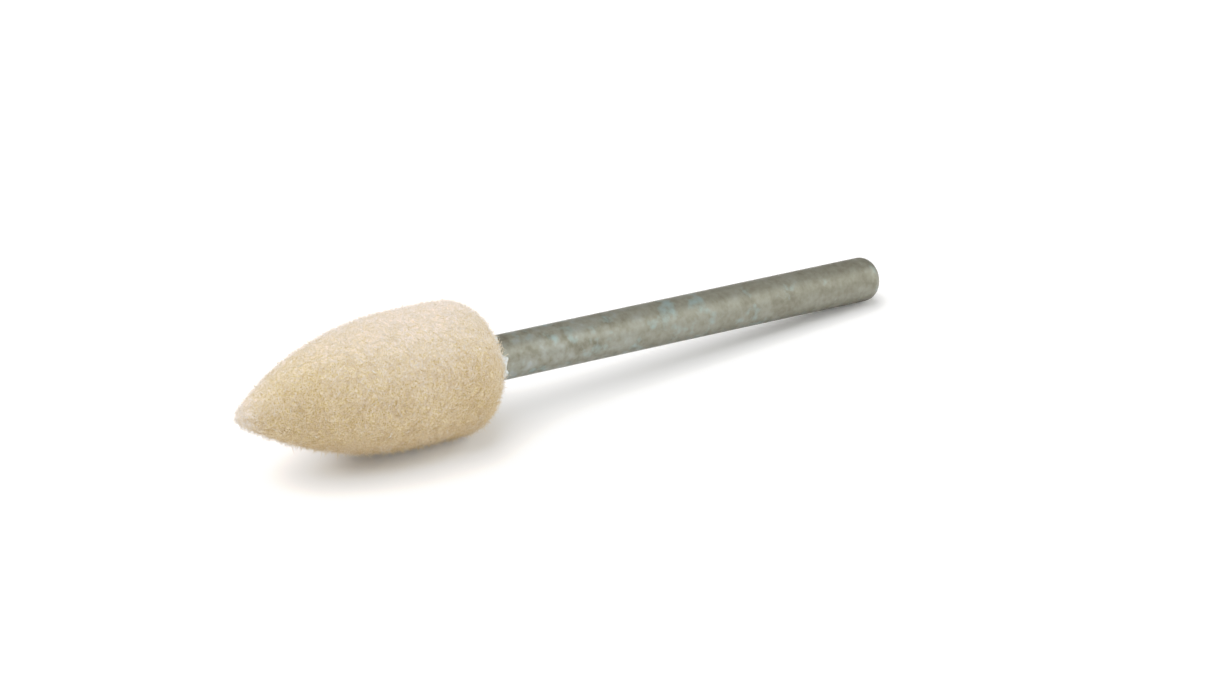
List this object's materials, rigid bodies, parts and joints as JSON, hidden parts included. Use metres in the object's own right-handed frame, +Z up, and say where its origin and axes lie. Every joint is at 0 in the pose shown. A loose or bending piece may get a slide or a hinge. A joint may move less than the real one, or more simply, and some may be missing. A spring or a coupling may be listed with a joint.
{
  "type": "mounted felt polishing bob",
  "caption": "Bullet-shaped pressed wool felt bob glued on a plain round steel mandrel, for polishing stones and jewellery in a rotary tool.",
  "frame": {"origin": "on the axis of rotation at the back face of the felt, where the shank comes out", "axes": "+Y along the shank towards its free end, -Y towards the tip of the felt, +Z up"},
  "size_m": [0.0096, 0.0515, 0.0096],
  "materials": {
    "felt": "pressed cream wool felt, matt and slightly hairy",
    "steel": "dull grey drawn steel with faint handling stains",
    "glue": "cured pale glue with felt fibres in it"
  },
  "bodies": {
    "root": {"felt_bob": "felt", "mandrel": "steel", "adhesive": "glue"}
  },
  "joints": []
}
